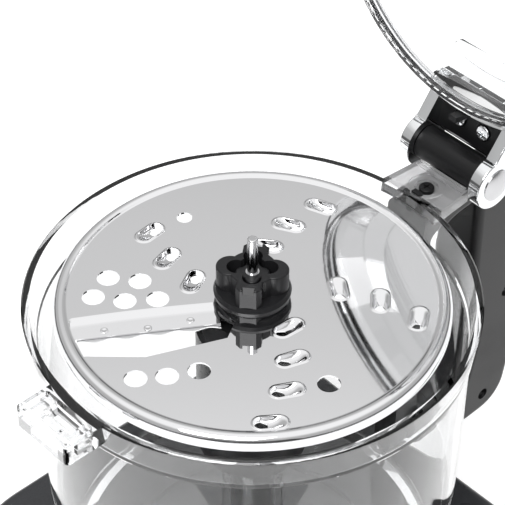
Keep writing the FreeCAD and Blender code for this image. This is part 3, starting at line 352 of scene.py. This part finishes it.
def tooth_dish():
    """One tooth about the origin, pointing along y: a raised lip, then a dish that runs down to its mouth."""
    shape = bmesh.new()
    rings = [[(x, y, height) for x, y in capsule(TOOTH_HALF, TOOTH_WIDE - inset)]
             for inset, height in ((0.0, 0.0), (0.25, 0.06), (0.55, 0.26), (0.85, 0.44), (1.1, 0.5))]
    crest = capsule(TOOTH_HALF, TOOTH_WIDE - 1.1)
    mouth_y, mouth_r = -4.3, 3.2
    mouth = []
    for x, y in crest:
        reach = math.hypot(x, y - mouth_y)
        mouth.append((mouth_r * x / reach, mouth_y + mouth_r * (y - mouth_y) / reach))
    for share, height in ((0.06, 0.44), (0.14, 0.2), (0.24, -0.25), (0.36, -0.85), (0.5, -1.4), (0.66, -1.85),
                          (0.82, -2.15), (1.0, -2.3)):
        rings.append([(a[0] + (b[0] - a[0]) * share, a[1] + (b[1] - a[1]) * share, height)
                      for a, b in zip(crest, mouth)])
    rings.append([(x, y, -2.9) for x, y in mouth])
    add_rings(shape, rings)
    mesh = bpy.data.meshes.new("tooth")
    shape.to_mesh(mesh)
    shape.free()
    return mesh


def repeated(name, unit, places, material):
    """Copies of a unit mesh at (x, y, z, turn) places, made by a Geometry Nodes tree."""
    points = bpy.data.meshes.new(name)
    points.from_pydata([Vector(place[:3]) * MM for place in places], [], [])
    turn = points.attributes.new("turn", "FLOAT", "POINT")
    for n, place in enumerate(places):
        turn.data[n].value = math.radians(place[3])
    holder = linked(name, points)
    unit_object = linked(name + "_unit", unit)
    tree = bpy.data.node_groups.new(name, "GeometryNodeTree")
    tree.interface.new_socket("Geometry", in_out="INPUT", socket_type="NodeSocketGeometry")
    tree.interface.new_socket("Unit", in_out="INPUT", socket_type="NodeSocketObject")
    tree.interface.new_socket("Material", in_out="INPUT", socket_type="NodeSocketMaterial")
    tree.interface.new_socket("Geometry", in_out="OUTPUT", socket_type="NodeSocketGeometry")
    given, result = tree.nodes.new("NodeGroupInput"), tree.nodes.new("NodeGroupOutput")
    info, copies = tree.nodes.new("GeometryNodeObjectInfo"), tree.nodes.new("GeometryNodeInstanceOnPoints")
    angle, euler = tree.nodes.new("GeometryNodeInputNamedAttribute"), tree.nodes.new("ShaderNodeCombineXYZ")
    real, paint = tree.nodes.new("GeometryNodeRealizeInstances"), tree.nodes.new("GeometryNodeSetMaterial")
    angle.inputs["Name"].default_value = "turn"
    for a, b in ((given.outputs["Geometry"], copies.inputs["Points"]),
                 (given.outputs["Unit"], info.inputs["Object"]),
                 (info.outputs["Geometry"], copies.inputs["Instance"]),
                 (angle.outputs["Attribute"], euler.inputs["Z"]),
                 (euler.outputs["Vector"], copies.inputs["Rotation"]),
                 (copies.outputs["Instances"], real.inputs["Geometry"]),
                 (real.outputs["Geometry"], paint.inputs["Geometry"]),
                 (given.outputs["Material"], paint.inputs["Material"]),
                 (paint.outputs["Geometry"], result.inputs["Geometry"])):
        tree.links.new(a, b)
    modifier = holder.modifiers.new("copies", "NODES")
    modifier.node_group = tree
    for item in tree.interface.items_tree:
        if item.item_type == "SOCKET" and item.in_out == "INPUT" and item.name == "Unit":
            modifier[item.identifier] = unit_object
        if item.item_type == "SOCKET" and item.in_out == "INPUT" and item.name == "Material":
            modifier[item.identifier] = material
    bpy.context.view_layer.update()
    made = bpy.data.meshes.new_from_object(holder.evaluated_get(bpy.context.evaluated_depsgraph_get()))
    for spare in (holder, unit_object):
        bpy.data.objects.remove(spare)
    return made


def smooth_by_angle(mesh, degrees):
    for polygon in mesh.polygons:
        polygon.use_smooth = True
    mesh.set_sharp_from_angle(angle=math.radians(degrees))


def joined(meshes):
    """Several meshes as one, vertices that meet made one."""
    whole = bmesh.new()
    for mesh in meshes:
        if isinstance(mesh, bmesh.types.BMesh):
            spare = bpy.data.meshes.new("spare")
            mesh.to_mesh(spare)
            mesh.free()
            mesh = spare
        whole.from_mesh(mesh)
    bmesh.ops.remove_doubles(whole, verts=whole.verts, dist=0.01 * MM)
    result = bpy.data.meshes.new("joined")
    whole.to_mesh(result)
    whole.free()
    return result


disc_steel = polished_metal("disc_steel", (0.80, 0.80, 0.81), 0.03, 0.07, 0.015)
tooth_outlines = []
for radius, angle in TOOTH_PLACES:
    tooth_outlines.append([turned_about(point, angle, polar(radius, angle))
                           for point in capsule(TOOTH_HALF, TOOTH_WIDE)])
EDGE_START, EDGE_END = Vector((-78.2, 31.8)), Vector((-23.3, -4.3))  # back edge of the blade's slot
ALONG = (EDGE_END - EDGE_START).normalized()
BACK = Vector((-ALONG.y, ALONG.x))


def beside_slot(s, d):
    """Plan position s along the slot's back edge and d behind it, kept inside the bead."""
    point = EDGE_START + ALONG * s + BACK * d
    return point * min(1.0, 86.1 / point.length)


def rounded_window(s):
    """How far behind the slot the pressed ramp starts, at s along it."""
    bow = 1.4 * math.sin(math.pi * (s + 4) / 72)
    outer = max(0.0, 2.5 - (s + 4)) / 2.5
    return 15.4 + bow * 0.6 - 3.0 * outer ** 2


WINDOW_S = [-4 + 1.2 * n for n in range(59)]  # along the pressed part
window_outline = ([(-83.1, 22.4), (-62.9, 3.2), (-27.2, -12.7), (-18.4, -7.6)]
                  + [tuple(beside_slot(s, rounded_window(s))) for s in reversed(WINDOW_S)]
                  + [tuple(beside_slot(-4, 4.0))])
holes = [circle_points(5.4, *polar(*place), count=40) for place in HOLE_PLACES]
small_hole = circle_points(3.8, *polar(65.2, 77.5), count=32)
outlines = [circle_points(FLAT_R, count=288), circle_points(HUB_GAP_R, count=96), small_hole, window_outline]
sheet = flat_sheet("disc_flat", outlines + holes + tooth_outlines, SHEET, DISC_TOP - SHEET / 2, 0.0)
teeth = repeated("disc_teeth", tooth_dish(),
                 [(*polar(radius, angle), DISC_TOP, angle) for radius, angle in TOOTH_PLACES], disc_steel)


def pressed_strip(front_wave, drop, low, thin, front, back):
    """The sheet behind the slot: a shallow ramp down from the disc, then a strip to its front edge."""
    shape = bmesh.new()
    upper, lower = [], []
    for s in WINDOW_S:
        foot = rounded_window(s)
        row = []
        for step in range(17):
            share = step / 16
            wave = front_wave * math.cos(2 * math.pi * s / 15) * share ** 6
            d = foot * back + (front - foot * back) * share + wave
            ramp = min(1.0, max(0.0, (foot - d) / 5.2))
            ease = ramp * ramp * (3 - 2 * ramp)
            height = -drop * (0.55 * ramp + 0.45 * ease) - (low - drop) * max(0.0, foot - 5.2 - d) / 9
            row.append((*beside_slot(s, d), DISC_TOP + height))
        upper.append([shape.verts.new(Vector(p) * MM) for p in row])
        lower.append([shape.verts.new((Vector(p) - Vector((0, 0, thin))) * MM) for p in row])
    for sheet_rows, flip in ((upper, False), (lower, True)):
        for one, two in zip(sheet_rows, sheet_rows[1:]):
            for n in range(16):
                corners = (one[n], one[n + 1], two[n + 1], two[n])
                shape.faces.new(corners[::-1] if flip else corners)
    for n in (0, 16):
        for k in range(len(WINDOW_S) - 1):
            shape.faces.new((upper[k][n], upper[k + 1][n], lower[k + 1][n], lower[k][n]))
    for k in (0, -1):
        for n in range(16):
            shape.faces.new((upper[k][n], upper[k][n + 1], lower[k][n + 1], lower[k][n]))
    bmesh.ops.recalc_face_normals(shape, faces=shape.faces)
    return shape


def weld_ring():
    """The raised ring a spot weld leaves on top of the sheet."""
    shape = bmesh.new()
    rings = [[(x, y, h) for x, y in circle_points(r, count=24)]
             for r, h in ((1.9, 0.0), (1.6, 0.22), (1.2, 0.26), (0.8, 0.1), (0.5, 0.04))]
    add_rings(shape, rings, closed_end=True)
    mesh = bpy.data.meshes.new("weld")
    shape.to_mesh(mesh)
    shape.free()
    return mesh


WELD_PLACES = [(-64.5, 30.1), (-48.8, 17.8), (-31.0, 8.5)]
weld_spots = [(x, y, DISC_TOP - WELD_DROP, 0) for x, y in WELD_PLACES]
welds = repeated("disc_welds", weld_ring(), weld_spots, disc_steel)
pressed_part = pressed_strip(front_wave=0.0, drop=0.9, low=1.3, thin=0.8, front=2.2, back=1.0)
disc_mesh = joined([sheet, rolled_edge(), teeth, welds, pressed_part])
smooth_by_angle(disc_mesh, 38)
disc_mesh.materials.clear()
disc_piece = linked("disc", disc_mesh, disc_steel)
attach(disc_piece, "disc")
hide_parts("disc_plate")
# ---- Slicing blade ----
# Harder steel strip spot-welded under the pressed part of the disc. Its edge, just ahead of the
# sheet, is ground in shallow waves.
blade_steel = polished_metal("blade_steel", (0.84, 0.84, 0.85), 0.08, 0.16, 0.04)
blade_strip = pressed_strip(front_wave=0.8, drop=0.0, low=0.0, thin=0.6, front=0.9, back=0.62)
bmesh.ops.translate(blade_strip, verts=blade_strip.verts, vec=(0, 0, -BLADE_DROP * MM))
blade_mesh = joined([blade_strip])
smooth_by_angle(blade_mesh, 30)
blade_piece = linked("blade_piece", blade_mesh, blade_steel)
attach(blade_piece, "disc")
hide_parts("slicing_blade")


# ---- Hub, adapter and pin ----
# Black glass-filled nylon mouldings with a satin skin; the pin is ground steel moulded in.


def moulded_plastic(name, colour, smooth, rough, grain, depth):
    """Satin moulded plastic: spark-eroded grain and slight patches in the skin."""
    made, nodes, links, shader = new_material(name)
    set_sockets(shader, Specular_IOR_Level=0.28)
    marks = placed(nodes, MARKS, Smear_Size=30.0, Clean_Roughness=smooth, Smeared_Roughness=rough,
                   Speck_Size=grain)
    links.new(marks.outputs["Roughness"], shader.inputs["Roughness"])
    tone = nodes.new("ShaderNodeMix")
    tone.data_type = "RGBA"
    tone.inputs["A"].default_value = (*colour, 1)
    tone.inputs["B"].default_value = (*[min(1, c * 1.35 + 0.004) for c in colour], 1)
    links.new(marks.outputs["Height"], tone.inputs["Factor"])
    links.new(tone.outputs["Result"], shader.inputs["Base Color"])
    bump_from(nodes, links, marks.outputs["Height"], 0.25, depth, shader)
    return made


hub_black = moulded_plastic("hub_black", (0.010, 0.010, 0.011), 0.30, 0.42, 2500.0, 0.00006)
give("disc_hub", hub_black)
give("drive_adapter", hub_black)
ground_steel = polished_metal("ground_steel", (0.62, 0.62, 0.63), 0.12, 0.2, 0.06, (1, 1, 0.05))
give("adapter_pin", ground_steel)

# ---- Handle and hinge barrel ----
# Two black mouldings screwed together round the interlock rod; the barrel is screwed on top.
handle_black = moulded_plastic("handle_black", (0.006, 0.006, 0.0065), 0.30, 0.42, 1800.0, 0.00008)
for piece in ("handle_left", "handle_right", "hinge_barrel", "lid_bracket", "latch_lever"):
    give(piece, handle_black)

# ---- Plated hinge parts ----
# Zinc castings with bright chrome plate, every edge rounded before plating.


def softened_copy(node, body, width, material, angle=32, segments=3):
    """A copy of a CAD piece whose sharp edges are rounded, standing in for it."""
    shape = bmesh.new()
    shape.from_mesh(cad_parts[node].data)
    bmesh.ops.remove_doubles(shape, verts=shape.verts, dist=0.002 * MM)
    bmesh.ops.dissolve_limit(shape, angle_limit=math.radians(1.0), verts=shape.verts, edges=shape.edges)
    mesh = bpy.data.meshes.new(node + "_soft")
    shape.to_mesh(mesh)
    shape.free()
    smooth_by_angle(mesh, angle)
    piece = linked(node + "_soft", mesh, material)
    rounding = piece.modifiers.new("edges", "BEVEL")
    rounding.width = width * MM
    rounding.segments = segments
    rounding.limit_method = "ANGLE"
    rounding.angle_limit = math.radians(angle)
    rounding.use_clamp_overlap = True
    rounding.harden_normals = True
    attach(piece, body)
    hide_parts(node)
    return piece


chrome = polished_metal("chrome_plate", (0.83, 0.84, 0.85), 0.02, 0.06, 0.01)
for piece in ("hinge_arm_left", "hinge_arm_right"):
    softened_copy(piece, "lid", 1.3, chrome)
for piece in ("lid_screws", "lid_trim", "base_trim"):
    give(piece, chrome)
give("pin_caps", polished_metal("cap_metal", (0.55, 0.55, 0.56), 0.22, 0.3, 0.05))
give("pad_screw", handle_black)
for piece in ("handle_screws", "bottom_screws", "hinge_pin", "latch_pin"):
    give(piece, ground_steel)

# ---- Lid ----
lid_clear = clear_plastic("lid_clear", (0.97, 0.975, 0.98), 0.012, 0.05)
give("lid_cover", lid_clear)
give("lid_seal", moulded_plastic("seal_grey", (0.05, 0.05, 0.052), 0.5, 0.6, 900.0, 0.0001))
give("lid_bush", moulded_plastic("bush_white", (0.7, 0.69, 0.66), 0.35, 0.45, 1500.0, 0.00005))
pusher_clear = clear_plastic("pusher_smoke", (0.62, 0.64, 0.66), 0.03, 0.1)
give("large_pusher", pusher_clear)
give("small_pusher", pusher_clear)

# ---- Base ----
base_dark = moulded_plastic("base_dark", (0.03, 0.031, 0.034), 0.22, 0.30, 1200.0, 0.00004)
for piece in ("base_housing", "bowl_seat", "drive_boss", "bottom_plate"):
    give(piece, base_dark)
give("control_panel", polished_metal("panel_steel", (0.55, 0.55, 0.56), 0.2, 0.28, 0.4, (0.02, 1, 1)))

# ---- Feet, gland and buttons ----
# Compression-moulded rubber, and gloss keys whose height marks are left blank.
rubber_black = moulded_plastic("rubber_black", (0.02, 0.02, 0.02), 0.62, 0.78, 700.0, 0.0002)
for piece in ("rubber_feet", "cord_gland"):
    give(piece, rubber_black)
key_black = moulded_plastic("key_black", (0.03, 0.03, 0.032), 0.12, 0.2, 1500.0, 0.00003)
for piece in ("button_pulse", "button_low", "button_high", "interlock_switch"):
    give(piece, key_black)

# ---- Springs and ground shafts ----
# Drawn wire keeps fine lines along its length; bearings and shafts are ground bright.
spring_wire = polished_metal("spring_wire", (0.55, 0.55, 0.56), 0.16, 0.3, 0.2, (1, 1, 12))
for piece in ("interlock_spring", "button_spring_pulse", "button_spring_low", "button_spring_high"):
    give(piece, spring_wire)
for piece in ("motor_shaft", "drive_spindle", "motor_bearings", "spindle_bearings", "motor_screws"):
    give(piece, ground_steel)

# ---- Motor ----
# Stacked laminations, varnished copper and die-cast frames, dulled by handling and dust.


def banded_core(name, colour, pitch):
    """Stacked sheets: fine level lines in the height and tone."""
    made, nodes, links, shader = new_material(name)
    set_sockets(shader, Metallic=0.85)
    wave = nodes.new("ShaderNodeTexWave")
    wave.bands_direction = "Z"
    set_sockets(wave, Scale=1 / pitch, Distortion=0.4, Detail=2.0)
    coords = nodes.new("ShaderNodeTexCoord")
    links.new(coords.outputs["Object"], wave.inputs["Vector"])
    tone = nodes.new("ShaderNodeMix")
    tone.data_type = "RGBA"
    links.new(wave.outputs["Fac"], tone.inputs[0])
    tone.inputs[6].default_value = (*[c * 0.6 for c in colour], 1)
    tone.inputs[7].default_value = (*colour, 1)
    links.new(tone.outputs[2], shader.inputs["Base Color"])
    marks = placed(nodes, MARKS, Smear_Size=40.0, Clean_Roughness=0.35, Smeared_Roughness=0.55)
    links.new(marks.outputs["Roughness"], shader.inputs["Roughness"])
    bump_from(nodes, links, wave.outputs["Fac"], 0.4, 0.0002, shader)
    return made


core_steel = banded_core("core_steel", (0.32, 0.33, 0.35), 0.004)
copper_wire = banded_core("copper_wire", (0.62, 0.27, 0.12), 0.006)
for piece in ("motor_stator", "motor_rotor"):
    give(piece, core_steel)
for piece in ("motor_windings", "motor_commutator"):
    give(piece, copper_wire)
cast_alloy = polished_metal("cast_alloy", (0.48, 0.485, 0.49), 0.38, 0.55, 0.5)
for piece in ("motor_frame", "motor_pulley", "spindle_housing"):
    give(piece, cast_alloy)
nylon = moulded_plastic("nylon", (0.62, 0.61, 0.57), 0.35, 0.5, 1100.0, 0.0001)
for piece in ("motor_fan", "spindle_pulley"):
    give(piece, nylon)
give("interlock_rod", handle_black)
give("drive_belt", rubber_black)
give("control_board", moulded_plastic("board_green", (0.02, 0.09, 0.04), 0.25, 0.4, 600.0, 0.0002))

# ---- Floor, light and camera ----


def soft_light(name, place, size, power, aim):
    lamp = bpy.data.lights.new(name, "AREA")
    lamp.shape = "RECTANGLE"
    lamp.size, lamp.size_y = size
    lamp.energy = power
    holder = bpy.data.objects.new(name, lamp)
    bpy.context.scene.collection.objects.link(holder)
    holder.location = place
    holder.rotation_euler = (Vector(aim) - Vector(place)).to_track_quat("-Z", "Y").to_euler()
    return holder


def plain_sheet(name, corners, colour, emission):
    """A flat stage card; corners run round it."""
    mesh = bpy.data.meshes.new(name)
    mesh.from_pydata(corners, [], [tuple(range(len(corners)))])
    sheet = bpy.data.objects.new(name, mesh)
    bpy.context.scene.collection.objects.link(sheet)
    made, _, _, shader = new_material(name)
    set_sockets(shader, Base_Color=(*colour, 1), Roughness=0.7, Emission_Color=(1, 1, 1, 1),
                Emission_Strength=emission)
    mesh.materials.append(made)
    return sheet


FLOOR_REACH = 6.0
floor_corners = [(-FLOOR_REACH, -FLOOR_REACH, 0), (FLOOR_REACH, -FLOOR_REACH, 0),
                 (FLOOR_REACH, FLOOR_REACH, 0), (-FLOOR_REACH, FLOOR_REACH, 0)]
plain_sheet("floor", floor_corners, (0.92, 0.92, 0.92), 0.35)

VIEW_AZIMUTH = math.radians(-42.8)
VIEW_ELEVATION = math.radians(42.6)
VIEW_DISTANCE = 1.0066
LENS, LENS_SHIFT = 154.6, 0.087
disc_middle = Vector((0, 0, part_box("disc_plate")[1].z))
away = Vector((math.sin(VIEW_AZIMUTH) * math.cos(VIEW_ELEVATION),
               -math.cos(VIEW_AZIMUTH) * math.cos(VIEW_ELEVATION), math.sin(VIEW_ELEVATION)))
toward = Vector((away.x, away.y, 0)).normalized()
sideways = Vector((-toward.y, toward.x, 0))

# a black card lying low in front, seen only in polished surfaces
near, far, half = 0.30, 1.3, 0.28
flag = plain_sheet("black_card", [tuple(toward * r + sideways * w + Vector((0, 0, h)))
                                  for r, w, h in ((near, -half, 0.01), (near, half, 0.01),
                                                  (far, half * 1.6, 0.85), (far, -half * 1.6, 0.85))],
                   (0.01, 0.01, 0.01), 0.0)
for ray_kind in ("camera", "diffuse", "shadow", "transmission"):
    setattr(flag, "visible_" + ray_kind, False)

# sky: dim low down opposite the camera, brighter towards the top, as under a hanging softbox
world = bpy.data.worlds.new("studio")
bpy.context.scene.world = world
world.use_nodes = True
sky_nodes, sky_links = world.node_tree.nodes, world.node_tree.links
sky = sky_nodes["Background"]
direction = sky_nodes.new("ShaderNodeTexCoord")
parts = sky_nodes.new("ShaderNodeSeparateXYZ")
sky_links.new(direction.outputs["Generated"], parts.inputs["Vector"])
ramp = sky_nodes.new("ShaderNodeValToRGB")
ramp.color_ramp.interpolation = "EASE"
stops = ramp.color_ramp.elements
stops[0].position, stops[0].color = 0.0, (0.12, 0.12, 0.12, 1)
stops[1].position, stops[1].color = 1.0, (1.0, 1.0, 1.0, 1)
for place, level in ((0.1, 0.1), (0.2, 0.45), (0.57, 0.5), (0.67, 0.66), (0.78, 0.9), (0.88, 1.0)):
    stop = stops.new(place)
    stop.color = (level, level, level, 1)
sky_links.new(parts.outputs["Z"], ramp.inputs["Fac"])
sky_links.new(ramp.outputs["Color"], sky.inputs["Color"])
sky.inputs["Strength"].default_value = 1.1

bowl_centre = Vector((0, 0, 0.3))
soft_light("key", (-1.1, -0.6, 1.9), (1.2, 1.2), 30, bowl_centre)

camera_data = bpy.data.cameras.new("camera")
camera_data.sensor_width = 36.0
camera_data.lens = LENS
camera_data.shift_y = LENS_SHIFT
camera = bpy.data.objects.new("camera", camera_data)
bpy.context.scene.collection.objects.link(camera)
camera.location = disc_middle + away * VIEW_DISTANCE
camera.rotation_euler = (-away).to_track_quat("-Z", "Y").to_euler()
bpy.context.scene.camera = camera
bpy.context.scene.view_settings.view_transform = "Standard"
